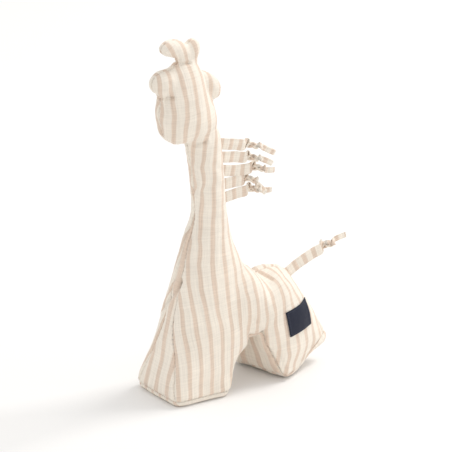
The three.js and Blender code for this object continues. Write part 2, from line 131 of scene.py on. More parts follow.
# Where the near side's stripes run, dragged by the stuffing: (x, z) points of each one's middle
STRIPE_ROUTES = {
    -2: ((-23, 246), (-23.5, 236.5), (-26.5, 276), (-27, 270)),
    -1: ((-18.5, 266), (-17, 254), (-16.5, 242), (-16, 229)),
    0: ((-13.5, 18.5), (-12, 30), (-11, 45), (-11, 60.5), (-10, 74), (-7, 229), (-6, 241), (-6.5, 253),
        (-7.5, 264.5), (-8, 277.5), (-13, 293)),
    1: ((-3.5, 16), (-2, 28.5), (-2, 44.5), (-2.5, 61), (-3.5, 77), (-3, 92), (-1, 111), (3, 130),
        (8.5, 174.5), (6.5, 197), (5.5, 210), (4, 218), (4, 226.5), (5, 238.5), (3.5, 251), (2, 263),
        (0.5, 281.5)),
    2: ((7, 14), (8.5, 26.5), (8.5, 43), (7, 60), (6, 76.5), (4.5, 92.5), (5, 112), (8, 132), (12, 151),
        (12, 173), (11.5, 193), (12, 208), (13.5, 215), (17, 222.5), (15.5, 235.5), (15, 247.5),
        (13.5, 259)),
    3: ((16.5, 12), (18, 24), (19, 40.5), (19, 57.5), (16, 74.5), (14.5, 91.5), (14.5, 111.5), (17.5, 131.5),
        (21, 155.5), (21.5, 180), (21, 198), (23.5, 215.5), (26.5, 228), (25.5, 240), (22.5, 257.5)),
    4: ((26, 22), (28, 38.5), (28.5, 55), (27.5, 72), (26.5, 89), (26.5, 105.5), (26.5, 121.5), (28.5, 137)),
    5: ((38.5, 52), (37, 70), (37, 86.5), (36, 103), (35.5, 118.5), (34.5, 133.5)),
    6: ((46.5, 61), (45, 77), (43.5, 85.5), (44, 100)),
    7: ((53.5, 55), (53.5, 71), (52, 83.5), (52, 95.5)),
    8: ((64, 42), (63.5, 55.5), (61, 69.5), (61, 85.5), (60, 91)),
    9: ((74, 29.5), (70.5, 49), (69, 68.5), (67.5, 80.5)),
    10: ((83.5, 20), (82, 28), (80, 49.5), (80, 64.5), (78, 81.5)),
    11: ((89, 14), (93.5, 24.5), (91, 37), (88.5, 63), (86.5, 74.5), (83, 85)),
    12: ((101, 13.5), (105.5, 21.5), (101, 37.5), (97.5, 63), (94.5, 70), (88, 82.5)),
    13: ((113, 15), (116, 23), (112, 38)),
}
# How freely a stripe may miss its route, and how many corners of the cloth off the middle seam show it
ROUTE_GIVE = 0.6
ROUTE_CORNERS = 12
MIDDLE_BAND = 1
MIDDLE_COST = 400

# Folds of the cloth: points, depth, half-width, and whether the far side has the fold too
FOLDS = (
    (((-5.6, -4.8, 96.5), (-8.9, -1.1, 87.4), (-11, 5.7, 77.9), (-10.8, 13.3, 69.2)), 1.5, 2.1, False),
    (((-4.8, -4.6, 99), (-7, -4.4, 92), (-9.4, -3.4, 85)), 0.5, 1.2, False),
    (((60, -4, 94), (68.3, -1.3, 87.6), (71.3, -8.3, 85.8), (74.1, -14.2, 83.8)), 0.9, 1.3, True),
    (((5.4, -1.2, 211.5), (8.5, -8.1, 213.1), (13.8, -11.6, 214.4)), 1.6, 1.5, True),
    (((-17.9, -9.1, 270.9), (-16.5, -8.5, 260.9)), 0.6, 1.6, True),
    (((-20.6, 0, 257.4), (-20.3, -3, 258.2), (-18.9, -6.5, 258.6), (-16.2, -10, 258.6)), 1.9, 1.4, True),
    (((-20, -4.9, 257.9), (-20.4, -6.8, 252.5)), 0.7, 0.9, True),
    (((-17.5, -8.5, 257.7), (-18.2, -9.6, 251.5)), 0.6, 0.9, True),
    (((-21, -1.5, 256.5), (-22.4, -2.2, 251)), 0.6, 0.9, True),
    (((-6.4, -0.5, 283.6), (-6, -2.2, 283.4), (-2.6, -4.9, 283.6), (2.5, -6, 283.2)), 1.35, 1.2, True),
    (((15.4, -4.8, 268.9), (17.9, -6.8, 257), (22.6, -7, 244)), 0.6, 1.6, True),
    (((8, -9, 198), (17, -12, 195), (27, -12, 189)), 0.45, 2.4, True),
    (((9, -9, 180), (18, -12, 176), (30, -12, 172)), 0.4, 2.6, True),
    (((10, -9, 162), (20, -13, 158), (32, -11, 156)), 0.35, 2.8, True),
    (((50, -26, 60), (56, -24, 52), (60, -21, 46)), 0.9, 1.5, True),
    (((66, -26, 60), (64, -24, 52), (62, -21, 45)), 0.8, 1.4, True),
    (((79, -27, 8), (77, -27, 16), (73, -26, 26)), 0.8, 1.6, True),
)
# The cloth's rise beside a fold: its share of the depth, and how many half-widths off it stands
FOLD_RIDGE = 0.35
RIDGE_AWAY = 2.1
# Painted shade in a fold: how dark for its depth, and the depth where it begins
FOLD_SHADE = 0.25
SHADED_FROM = 0.6
# Where the stuffing pulls the skin out of its even form: place, how far it goes, and the reach
TUGS = (
    ((71, 24, 12), (-10, 0, 0), 21),
    ((70, 29, 5), (-5, 9.5, -6), 11),
    ((40, -22, 42), (5.5, 0, -3.5), 14),
    ((54, -20, 50), (1, 0, -7.5), 13),
    ((50, 8, 50), (2, 0, -5), 16),
    ((128, -4, 22), (4.5, -1, -4.5), 13),
    ((79, -27, 4), (0.8, -1.5, -0.5), 8),
    ((5, 0, 211), (-1.8, 0, 0), 14),
    ((-24, 0, 228), (1.6, 0, 0.6), 12),
    ((-20, 0, 219), (0.8, 0, 1.8), 10),
)
# Seams: how deep and wide they sink, with the shares that the gathers and the stitches add
SEAM = {"depth": 1.15, "reach": 1.4, "gather": 0.35, "stitch": 0.3}
PUCKER = {"gather": 0.85, "stitch": 0.22, "starts": 1.2, "reach": 4.0}
STITCH_PITCH = 3.4
LOW_SEAMS = 1.5 * HEEL_RISE
# Painted shade in the stitches' pits: how dark for plain and marked ones, its reach, and on the cloth
# between the threads
STITCH_SHADE = {"plain": 0.35, "dark": 0.8, "reach": 0.7, "between": 0.1, "thread": 0.9, "slack": 0.7}
# Where the stitches of a seam take deeper painted shade: places and reach
SHADED_STITCHES = (
    ((-7, -4.4, 92), 5),
    ((-16, -9.5, 54), 8),
    ((-24.6, -28, 10), 3.5),
    ((24.1, -29.7, 4.3), 3.5),
    ((60, -20, 46), 6),
    ((-21.6, -0.5, 255), 4),
)
# Layers of unevenness: how high, how fine along each axis, and where the pattern starts
GATHERS = ((0.6, (0.22, 0.22, 0.22), (0, 0, 0)), (0.4, (0.55, 0.55, 0.55), (7, 3, 1)))
LUMPS = (
    (0.45, (0.05, 0.05, 0.05), (0, 0, 0)),
    (0.16, (0.16, 0.16, 0.16), (3, 9, 5)),
    (0.14, (0.06, 0.06, 0.3), (0, 0, 0)),
)

# Ribbons, as their joints hold them
RIBBON_WIDTH = 9.5
TAIL_WIDTH = 10.0
RIBBON_STRIPE = 9.4
RIBBON_STRIPE_SHARE = 0.42
RIBBON_STEP = 0.7
RIBBON_SIDES = 28
ROOT_DEPTH = 2.2
CURVE_STEPS = 24

# The overhand knot: its size along the ribbon, upwards and sideways, and how far its line is followed
KNOT_SIZE = 1.2
KNOT_LENGTH = 1.1
KNOT_HEIGHT = 0.62
KNOT_DEPTH = 0.3
KNOT_REACH = 2.02
KNOT_STEPS = 40
GATHER_LENGTH = 5.0
# The shade in its folds: how dark and how wide, and the share that is left on every other turn
KNOT_SHADE = 0.65
SHADE_REACH = 1.6
SHADE_LEFT = 0.4
SHADE_TURN = 1.3

# Half-widths of a ribbon before its knot, after it and inside it, as shares of its width
LOOSE_BEFORE = 0.5
LOOSE_AFTER = 0.25
TIED = 0.28
# Half its thickness where it is flat, what the knot adds, its pleats, and how it waves and turns
FLAT_THICK = 0.55
KNOT_THICKENS = 0.45
EDGE_ROUNDNESS = (0.6, 0.7)
PLEAT = {"flat": 0.18, "gathered": 0.75, "reach": 1.6, "after": 0.2, "turns": 5}
WAVE = {"height": 1.3, "fine": 0.045, "starts": 12}
SIDE_TURN = 0.3
NEAR_KNOT = 0.6

# Loose threads at a ribbon's cut end, and the turns by which their lean, sag, length and spread change
FRAY_COUNT = 11
FRAY_SPREAD = 0.95
FRAY_ROOT = 0.5
FRAY_LENGTH = 1.2
FRAY_EXTRA = 1.3
FRAY_THICK = 0.2
FRAY_THINS = 0.04
FRAY_TURNS = (2.4, 1.7, 3.1)
FRAY_SWINGS = (0.4, 0.5, 0.6)
FRAY_SPREAD_TURN = 2.9
FRAY_CORNERS = (0, 2.1, 4.2)
FRAY_BEND = (0.6, 0.3)
FRAY_TIP = (1.0, 0.9)

# Each mane ribbon's line from its seam, as (x, z) from its joint, and which point its knot takes
MANE = (
    (((0, 0), (12, -3), (21.5, -6), (30, -7.5), (38.5, -11), (44.5, -15), (51, -19)), 3),
    (((0, 0), (12, -2.5), (22.5, -5), (29.5, -6.5), (37, -9.5), (42.5, -12.5), (47, -15.5)), 3),
    (((0, 0), (12, -2.5), (25.5, -4), (33.5, -4.5), (40, -8), (44.5, -9.5), (49, -10)), 3),
    (((0, 0), (9.5, 0), (18, -0.5), (25.5, -1), (31, -5.5), (35.5, -11), (39.5, -16)), 3),
    (((0, 0), (12.5, 1), (21, 1.5), (28, 1.5), (34.5, -1), (39.5, -2.5), (44.5, -3)), 3),
)
TAIL_LINE = (
    ((0, 0), (11.5, 6), (23.5, 10.5), (30.5, 13), (36.5, 15.5), (43, 17), (48.5, 18.5), (54, 19.5)), 4,
)

# The bare woven label on the near side of the rump
LABEL = {"x": 94.5, "z": 49.4, "width": 25.4, "height": 21.0, "turn": 7.8, "thick": 0.6, "hem": 2.2}
LABEL_LIFT = 0.35
LABEL_GRID = (48, 42)
LABEL_WAVE = {"height": 0.15, "fine": 0.25, "start": 4}
HEM = {"rise": 0.35, "step": 0.8, "dip": 0.3, "edge": 0.7}
LABEL_STITCHES = {"inside": 1.3, "pitch": 2.2}
BEYOND_SKIN = 80
NAVY = ((0.008, 0.01, 0.021, 1), (0.02, 0.024, 0.047, 1))
NAVY_STITCH = (0.045, 0.052, 0.09, 1)

# The photograph's view and light
VIEW_AZIMUTH = -33.3
VIEW_ELEVATION = 22.0
VIEW_SIZE = 360.2
VIEW_ACROSS = 33.9
VIEW_UP = 131.5
# In metres from here on: how far off the camera stands and sees, the lamps' aim, and half the floor
CAMERA_AWAY = 1.2
CAMERA_SEES = 20
LIGHT_AIM = (0.04, 0, 0.1)
FLOOR_HALF = 4
# The floor's colour in the light that it throws on the toy, and as the camera sees it
FLOOR_THROWS = (0.88, 0.87, 0.855, 1)
FLOOR_SEEN = (0.865, 0.862, 0.86, 1)
SKY = (1, 0.99, 0.975, 1)
SKY_STRENGTH = 0.93


def through(places, values, at):
    """A smooth curve through values at given places, without overshoot between equal values."""
    last = len(places) - 1
    if at <= places[0]:
        return values[0]
    if at >= places[last]:
        return values[last]
    i = next(k for k in range(last) if at < places[k + 1])

    def rate(k):
        return (values[k + 1] - values[k]) / (places[k + 1] - places[k])

    def slope(k):
        before, after = rate(k - 1), rate(k)
        return 0.0 if before * after <= 0 else 2 * before * after / (before + after)

    span = places[i + 1] - places[i]
    t = (at - places[i]) / span
    start = rate(0) if i == 0 else slope(i)
    end = rate(last - 1) if i + 1 == last else slope(i + 1)
    return (
        (2 * t**3 - 3 * t**2 + 1) * values[i]
        + (t**3 - 2 * t**2 + t) * span * start
        + (3 * t**2 - 2 * t**3) * values[i + 1]
        + (t**3 - t**2) * span * end
    )


def ring_of(bm, points):
    """One closed ring of edges through the points."""
    verts = bmesh.ops.create_circle(bm, segments=len(points), radius=1)["verts"]
    for vert, point in zip(verts, points):
        vert.co = point
    return [vert.link_edges[0] for vert in verts] + [vert.link_edges[1] for vert in verts]


def loft(bm, rings):
    """Skins rings of equal length and closes both ends."""
    loops = [list(dict.fromkeys(ring_of(bm, ring))) for ring in rings]
    for lower, upper in zip(loops, loops[1:]):
        bmesh.ops.bridge_loops(bm, edges=lower + upper)
    bmesh.ops.contextual_create(bm, geom=loops[0])
    bmesh.ops.contextual_create(bm, geom=loops[-1])


def rounded(share, power):
    """A share raised to a power with its sign kept, which rounds or squares a section."""
    return math.copysign(abs(share) ** power, share)


def section(at, front, back, half, square=2.0, square_back=None, widest=0.5):
    """One section of a column: its place, reach, half-width, squareness in front and at the back, and
    where along its reach it is widest."""
    return (at, front, back, half, square, square if square_back is None else square_back, widest)


def column(bm, stations, levels, sides, place):
    """A swelling column through its sections, capped by shrunken rings at its foot."""
    places = [station[0] for station in stations]

    def ring(level, shrink=1.0):
        front, back, half, square, square_back, widest = (
            through(places, [station[k] for station in stations], level) for k in range(1, 7)
        )
        middle = front + widest * (back - front)
        points = []
        for s in range(sides):
            angle = 2 * math.pi * s / sides
            forward = math.cos(angle) < 0
            power = 2 / (square if forward else square_back)
            along = rounded(math.cos(angle), power) * shrink
            across = rounded(math.sin(angle), power) * shrink
            reach = middle - front if forward else back - middle
            points.append(place(middle + along * reach, across * half, level))
        return points

    foot = [ring(levels[0], shrink) for shrink in END_SHRINKS]
    loft(bm, foot + [ring(level) for level in levels])


def lobe(bm, form, widths, sides=24, count=18):
    """A rounded lobe along a bent centre line in the middle plane."""
    root, bend, tip = (Vector((x, 0, z)) for x, z in form["line"])
    shares = [i / (len(widths) - 1) for i in range(len(widths))]
    rings = []
    for i in range(count):
        t = math.sin(math.pi / 2 * i / (count - 1))
        middle = root * (1 - t) ** 2 + bend * 2 * t * (1 - t) + tip * t**2
        tangent = (bend - root) * (1 - t) + (tip - bend) * t
        up = tangent.cross(SIDEWAYS).normalized()
        cap = max(0.0, (t - LOBE_CAP) / (1 - LOBE_CAP))
        size = form["radius"] * through(shares, widths, t) * math.sqrt(1 - LOBE_CLOSED * cap**2)
        rings.append([
            middle + up * size * math.cos(angle) + Vector((0, size * form["flat"] * math.sin(angle), 0))
            for angle in (2 * math.pi * s / sides for s in range(sides))
        ])
    loft(bm, rings)


def lift(along):
    """How far the line of the raised heel stands above the floor."""
    return HEEL_RISE * max(0.0, along - HEEL_START) / (REAR_FOOT["back"] - HEEL_START)


def upright(along, across, level):
    return Vector((along, across, level))


def heeled(along, across, level):
    return Vector((along, across, level + lift(along) * (1 - level / RUMP_HEIGHT)))


def crosswise(along, across, level):
    return Vector((level, -across, along))


def steps(low, high, pitch):
    count = max(2, round((high - low) / pitch))
    return [low + (high - low) * i / count for i in range(count + 1)]


def stuffed_forms():
    """The body's lofted forms, still crossing each other."""
    bm = bmesh.new()
    foot, shoulder, neck, throat, rear = FOOT, SHOULDER, NECK, THROAT, REAR_FOOT
    inset, tuck = SOLE_ROUND, REAR_SOLE_ROUND
    neck_end = throat["height"] + NECK_IN_HEAD
    front = [
        section(0, foot["front"] + inset, foot["back"] - inset, foot["half"] - inset, 9),
        section(SOLE_SEAM, foot["front"], foot["back"], foot["half"], 9),
        section(LEG_HEIGHT * 0.5, foot["front"] + 3, foot["back"] + 5, foot["half"] - 0.5, 4.5, 6),
        section(LEG_HEIGHT * 0.75, foot["front"] + 6, foot["back"] + 10, foot["half"] - 2, 3.4, 5),
        section(LEG_HEIGHT, foot["front"] + 8, foot["back"] + 19, foot["half"] - 3, 2.8, 3.6),
        section(70, foot["front"] + 13, shoulder["back"] + 0.5, shoulder["half"] + 3, 2.4),
        section(shoulder["height"], shoulder["front"], shoulder["back"], shoulder["half"], 2.2),
        section(126, 1, 43, 18),
        section(neck["foot"], neck["front"], neck["back"], neck["half"]),
        section(throat["height"], throat["front"], throat["back"], throat["half"]),
        section(neck_end, throat["front"] + 4, throat["back"] - 6, throat["half"] - 5),
    ]
    column(bm, front, SOLE_LEVELS + steps(ABOVE_SOLE, neck_end, pitch=5), sides=64, place=upright)
    back = [
        section(0, rear["front"] + tuck, rear["back"] - tuck, rear["half"] - tuck, 1.8, 1.25, 0.14),
        section(SOLE_SEAM, rear["front"], rear["back"], rear["half"], 1.8, 1.25, 0.13),
        section(20, rear["front"] - 6, rear["back"] - 4, rear["half"] + 0.5, 3.5, 1.4, 0.26),
        section(40, rear["front"] - 14, rear["back"] - 11.5, rear["half"] + 0.5, 4, 1.75, 0.4),
        section(60, 57, 110, 25, 2.6, 2, 0.45),
        section(75, 60, 102, 19),
        section(84, 63, 96.5, 11.5),
        section(RUMP_HEIGHT, 70, 91, 4),
    ]
    column(bm, back, SOLE_LEVELS + steps(ABOVE_SOLE, RUMP_HEIGHT, pitch=4), sides=64, place=heeled)
    barrel = [
        section(BARREL_ENDS[0], 56, 84, 14, 2.2),
        section(30, 47, 101, 24, 2.6, 2.2),
        section(46, ARCH["z"] - 1, 103, 27, 3, 2),
        section(ARCH["x"], ARCH["z"], 97.5, 27.5, 3, 2),
        section(69.5, ARCH["z"] - 3, 86.5, 26.5, 3, 2),
        section(81, ARCH["z"] - 5, 90, 25, 2.8, 2),
        section(93, ARCH["z"] - 1, 83, 20, 2.4, 2),
        section(BARREL_ENDS[1], 54, 72, 10),
    ]
    column(bm, barrel, steps(*BARREL_ENDS, pitch=4), sides=56, place=crosswise)
    low, high, half = HEAD["low"], HEAD["high"], HEAD["half"]
    head = [
        section(low, -13, 12, 5),
        section(low + 3.5, -20, 24, 11, 2.2, 2),
        section(226, -24, HEAD["back"], half - 1, 2.3, 2),
        section(240, HEAD["front"], 28, half, 2.3, 2),
        section(256, -21.5, 20.5, half - 0.5, 2.2, 2),
        section(269, -17.5, 17, 13),
        section(high - 5, -13, 13, 9),
        section(high, -6, 8, 4),
    ]
    column(bm, head, steps(low, high, pitch=3), sides=48, place=upright)
    for ear in (FRONT_EAR, REAR_EAR):
        lobe(bm, ear, EAR_WIDTHS)
    for horn in (FRONT_HORN, REAR_HORN):
        lobe(bm, horn, HORN_WIDTHS)
    bmesh.ops.recalc_face_normals(bm, faces=bm.faces)
    return bm


def placed(name, data):
    """A new object in the scene."""
    made = bpy.data.objects.new(name, data)
    bpy.context.scene.collection.objects.link(made)
    return made


def object_from(bm, name):
    """An object made from a bmesh, which is freed."""
    mesh = bpy.data.meshes.new(name)
    bm.to_mesh(mesh)
    bm.free()
    return placed(name, mesh)


def bmesh_of(obj):
    """A bmesh that holds a copy of the object's mesh."""
    bm = bmesh.new()
    bm.from_mesh(obj.data)
    return bm


def cloth_piece(bm, name):
    """A smooth piece in metres, made from a bmesh in millimetres."""
    for face in bm.faces:
        face.smooth = True
        face.material_index = 0
    bmesh.ops.scale(bm, vec=(MM, MM, MM), verts=bm.verts)
    return object_from(bm, name)


def settled(obj, kind, **settings):
    """The object with one more modifier applied to its mesh."""
    modifier = obj.modifiers.new(kind, kind)
    for key, value in settings.items():
        setattr(modifier, key, value)
    depsgraph = bpy.context.evaluated_depsgraph_get()
    mesh = bpy.data.meshes.new_from_object(obj.evaluated_get(depsgraph))
    obj.modifiers.clear()
    old = obj.data
    obj.data = mesh
    bpy.data.meshes.remove(old)
    return obj


def chest_half(z):
    return CHEST_HALF * through(CHEST_LEVELS, CHEST_SHARES, z)


def rump_half(z):
    return RUMP_HALF * through(RUMP_LEVELS, RUMP_SHARES, z)


def belly_half(z):
    return BELLY_FOOT_HALF + (BELLY_ROOF_HALF - BELLY_FOOT_HALF) * min(1, max(0, z / ARCH["z"]))


def in_arch(x, z):
    """Whether a point of the side view lies in the arch between the legs."""
    inside = False
    for (xa, za), (xb, zb) in zip(ARCH_OUTLINE, ARCH_OUTLINE[1:] + ARCH_OUTLINE[:1]):
        if (za > z) != (zb > z) and x < xa + (z - za) / (zb - za) * (xb - xa):
            inside = not inside
    return inside


def sole_field(p):
    return p.z - SOLE_SEAM - lift(p.x)


def gusset_field(p):
    """Distance outside the edge of the gusset that this stretch of cloth may belong to."""
    if in_arch(p.x, p.z):
        return abs(p.y) - belly_half(p.z)
    if p.x < CHEST_REACH[0] + CHEST_REACH[1] * p.z and p.z < CHEST_LEVELS[-1]:
        return abs(p.y) - chest_half(p.z)
    if p.x > RUMP_REACH[0] + RUMP_REACH[1] * p.z and p.z < RUMP_LEVELS[-1]:
        return abs(p.y) - rump_half(p.z)
    return abs(p.y) + 1


def middle_field(p):
    return p.y


def panel_at(p):
    """Which panel the cloth at a point was cut from."""
    if sole_field(p) < 0:
        return "front_sole" if p.x < ARCH["x"] else "rear_sole"
    if gusset_field(p) < 0:
        return "belly" if in_arch(p.x, p.z) else "chest" if p.x < ARCH["x"] else "rump"
    return "left_side" if p.y < 0 else "right_side"


def cut_along(bm, field):
    """Cuts the surface where a field changes sign, after drawing near points onto the line."""
    for vert in bm.verts:
        value = field(vert.co)
        if abs(value) < SEAM_SNAP:
            slope = Vector([
                (field(vert.co + Vector(axis) * FIELD_STEP) - value) / FIELD_STEP
                for axis in ((1, 0, 0), (0, 1, 0), (0, 0, 1))
            ])
            if slope.length > LEAST_SLOPE:
                vert.co -= slope * (value / slope.length_squared)
    values = {vert: field(vert.co) for vert in bm.verts}
    shares = {}
    for edge in bm.edges:
        a, b = (values[vert] for vert in edge.verts)
        crossed = a * b <= 0 and min(abs(a), abs(b)) >= ON_LINE
        if crossed and abs(a - b) <= STEEPEST_SLOPE * edge.calc_length():
            shares[edge] = a / (a - b)
    bmesh.ops.bisect_edges(bm, edges=list(shares), cuts=1, edge_percents=shares)
    bmesh.ops.connect_verts(bm, verts=[vert for vert in bm.verts if abs(field(vert.co)) < ON_LINE])


def sewn_skin():
    """The closed skin of the body, cut into its panels, with each face marked by its panel."""
    skin = object_from(stuffed_forms(), "skin")
    settled(skin, "REMESH", mode="VOXEL", voxel_size=SKIN_STEP)
    settled(skin, "SMOOTH", iterations=6, factor=0.5)
    bm = bmesh_of(skin)
    for vert in bm.verts:
        pull = Vector()
        for place, way, reach in TUGS:
            pull += Vector(way) * math.exp(-(vert.co - Vector(place)).length_squared / reach**2)
        vert.co += pull
    for field in (sole_field, gusset_field, middle_field):
        cut_along(bm, field)
    bmesh.ops.triangulate(bm, faces=[face for face in bm.faces if len(face.verts) > 4])
    for face in bm.faces:
        face.material_index = PANELS.index(panel_at(face.calc_center_median()))
        face.smooth = True
    bm.edges.ensure_lookup_table()
    for edge in bm.edges:
        edge.seam = len({face.material_index for face in edge.link_faces}) > 1
    bm.to_mesh(skin.data)
    bm.free()
    return skin


def unroll(obj):
    """Unrolls every panel between its seams, as a flat cut of cloth."""
    bpy.ops.object.select_all(action="DESELECT")
    bpy.context.view_layer.objects.active = obj
    obj.select_set(True)
    bpy.ops.object.mode_set(mode="EDIT")
    bpy.ops.mesh.select_all(action="SELECT")
    bpy.ops.uv.unwrap(method="MINIMUM_STRETCH", margin=0.001)
    bpy.ops.object.mode_set(mode="OBJECT")


def read_all(items, name, width=1, kind=float):
    """One value or vector of every item of a mesh, as an array."""
    values = np.empty(len(items) * width, kind)
    items.foreach_get(name, values)
    return values.reshape(-1, width) if width > 1 else values


def arrays_of(mesh):
    """The mesh's points, each loop's point, its panel and its place on the flat cloth."""
    points = read_all(mesh.vertices, "co", 3)
    corner = read_all(mesh.loops, "vertex_index", kind=int)
    counts = read_all(mesh.polygons, "loop_total", kind=int)
    panel = read_all(mesh.polygons, "material_index", kind=int)
    flat = read_all(mesh.uv_layers.active.data, "uv", 2)
    return points, corner, np.repeat(panel, counts), flat


def lay_grain(obj):
    """Turns each flat cut to lie along its stripes, in metres, with those of the sides on their routes."""
    mesh = obj.data
    points, corner, panel, flat = arrays_of(mesh)
    for index, name in enumerate(PANELS):
        mine = panel == index
        if not mine.any():
            continue
        place = points[corner[mine]]
        target = place[:, list(GRAIN_PLANES[name])]
        source = flat[mine]
        source_middle, target_middle = source.mean(0), target.mean(0)
        left, _, right = np.linalg.svd((source - source_middle).T @ (target - target_middle))
        turn = left @ right
        size = np.sqrt(area_ratio(mesh, index))
        laid = (source - source_middle) @ turn * size + target_middle
        if name.endswith("side"):
            laid[:, 0] -= drift_from_routes(place, laid[:, 0])
        elif name in GUSSET_GRAIN:
            scale, middle = GUSSET_GRAIN[name]
            laid[:, 0] = (laid[:, 0] - middle) * scale + STRIPE_PITCH / 2
        flat[mine] = laid * MM
    mesh.uv_layers.active.data.foreach_set("uv", flat.ravel())


def drift_from_routes(place, across):
    """How far the unrolled cloth's stripes stray from the routes, smoothly over the side view."""
    spots, strays = [], []
    for number, route in STRIPE_ROUTES.items():
        for x, z in route:
            away = (place[:, 0] - x) ** 2 + (place[:, 2] - z) ** 2
            away += (np.abs(place[:, 1]) < MIDDLE_BAND) * MIDDLE_COST
            near = np.argpartition(away, ROUTE_CORNERS)[:ROUTE_CORNERS]
            spots.append((x, z))
            strays.append(across[near].mean() - (number + 0.5) * STRIPE_PITCH)
    spots, strays = np.array(spots, float), np.array(strays)
    count = len(spots)
    apart = np.linalg.norm(spots[:, None] - spots[None], axis=2)
    system = np.zeros((count + 1, count + 1))
    system[:count, :count] = -apart - ROUTE_GIVE * np.eye(count)
    system[count, :count] = system[:count, count] = 1
    weights = np.linalg.solve(system, np.append(strays, 0))
    side_view = place[:, [0, 2]]
    drift = np.full(len(place), weights[-1])
    for spot, weight in zip(spots, weights):
        drift -= weight * np.linalg.norm(side_view - spot, axis=1)
    return drift


def area_ratio(mesh, index):
    """How much larger a panel's cloth is than its island on the unrolled map."""
    real = sheet = 0.0
    flat = mesh.uv_layers.active.data
    for face in mesh.polygons:
        if face.material_index != index:
            continue
        real += face.area
        corners = [flat[i].uv for i in face.loop_indices]
        edges = zip(corners, corners[1:] + corners[:1])
        sheet += 0.5 * abs(sum(a.x * b.y - b.x * a.y for a, b in edges))
    return real / sheet


def seam_map(mesh):
    """Each point's distance to the nearest seam, and that seam point."""
    sides = {}
    for face in mesh.polygons:
        for key in face.edge_keys:
            sides.setdefault(key, set()).add(face.material_index)
    on_seam = sorted({vert for key, found in sides.items() if len(found) > 1 for vert in key})
    tree = KDTree(len(on_seam))
    for vert in on_seam:
        tree.insert(mesh.vertices[vert].co, vert)
    tree.balance()
    nearest = [tree.find(vert.co) for vert in mesh.vertices]
    return np.array([found[2] for found in nearest]), [found[0] for found in nearest]


def away_from(points, line):
    """Every point's distance from a bent line."""
    nearest = np.full(len(points), np.inf)
    for a, b in zip(np.array(line[:-1], float), np.array(line[1:], float)):
        share = np.clip((points - a) @ (b - a) / ((b - a) @ (b - a)), 0, 1)
        nearest = np.minimum(nearest, np.linalg.norm(points - a - share[:, None] * (b - a), axis=1))
    return nearest


def folded(points):
    """How far the folds draw each point in, with the cloth raised a little beside them."""
    sunk = np.zeros(len(points))
    for line, depth, half, both in FOLDS:
        for side in (1, -1) if both else (1,):
            away = away_from(points * (1, side, 1), line)
            ridge = FOLD_RIDGE * np.exp(-(((away - RIDGE_AWAY * half) / half) ** 2))
            sunk += depth * (np.exp(-((away / half) ** 2)) - ridge)
    return sunk


def unevenness(place, layers):
    """The height of several layers of smooth noise at a place."""
    return sum(
        height * noise.noise(place * Vector(fine) + Vector(start)) for height, fine, start in layers
    )


def stitched(root):
    """How near a point of a seam is to a stitch, from 0 to 1, counted upwards or round the soles."""
    run = root.z if root.z > LOW_SEAMS else root.x + root.y + root.z
    return 0.5 + 0.5 * math.cos(2 * math.pi * run / STITCH_PITCH)


def stitch_shade(root, stitch, gather):
    """How much painted shade falls in a stitch's pit at a point of a seam."""
    shown = STITCH_SHADE["plain"]
    for spot, reach in SHADED_STITCHES:
        shown += STITCH_SHADE["dark"] * math.exp(-(root - Vector(spot)).length_squared / reach**2)
    pulled = stitch * stitch * max(0, STITCH_SHADE["slack"] + gather)
    return shown * (STITCH_SHADE["between"] + STITCH_SHADE["thread"] * pulled)


def work_surface(obj):
    """Sinks the seams, gathers the cloth beside them, draws the folds and makes the stuffing uneven.

    How deep each point sits in a fold, a seam or a stitch is kept as painted shade for the cloth's colour.
    """
    mesh = obj.data
    distance, seam_point = seam_map(mesh)
    points = read_all(mesh.vertices, "co", 3)
    outward = read_all(mesh.vertex_normals, "vector", 3, np.float32)
    moves = -folded(points)
    # Painted shade in the folds, where they sink deeper than SHADED_FROM
    painted_crease_shade = np.clip(-moves - SHADED_FROM, 0, 1) * FOLD_SHADE
    for i, (far, root) in enumerate(zip(distance, seam_point)):
        gather, stitch = unevenness(root, GATHERS), stitched(root)
        sink = SEAM["depth"] * (1 + SEAM["gather"] * gather + SEAM["stitch"] * stitch)
        pucker = PUCKER["gather"] * gather + PUCKER["stitch"] * stitch
        moves[i] += pucker * math.exp(-far / PUCKER["reach"]) * min(1, far / PUCKER["starts"])
        moves[i] += unevenness(Vector(points[i]), LUMPS)
        moves[i] -= sink * math.exp(-((far / SEAM["reach"]) ** 2))
        # Painted shade in the seam's stitch pits, fading away from the seam
        shade_fades = math.exp(-((far / STITCH_SHADE["reach"]) ** 2))
        painted_crease_shade[i] += stitch_shade(root, stitch, gather) * shade_fades
    points += outward * moves[:, None]
    points[:, 2] = np.maximum(points[:, 2], FLOOR_GAP)
    mesh.vertices.foreach_set("co", points.ravel())
    mesh.attributes.new("painted_crease_shade", "FLOAT", "POINT").data.foreach_set("value", np.clip(painted_crease_shade, 0, 1))
    mesh.update()


def panel_pieces(skin):
    """Parts the skin at its seams: one piece for each panel, with the thickness of its cloth."""
    pieces = {}
    for index, name in enumerate(PANELS):
        bm = bmesh_of(skin)
        others = [face for face in bm.faces if face.material_index != index]
        bmesh.ops.delete(bm, geom=others, context="FACES")
        piece = cloth_piece(bm, name + "_cloth")
        pieces[name] = settled(piece, "SOLIDIFY", thickness=CLOTH_THICKNESS * MM, offset=-1)
    bpy.data.objects.remove(skin)
    return pieces


def joint_of(body):
    return next(joint for joint in frame["joints"] if joint["child"] == body)


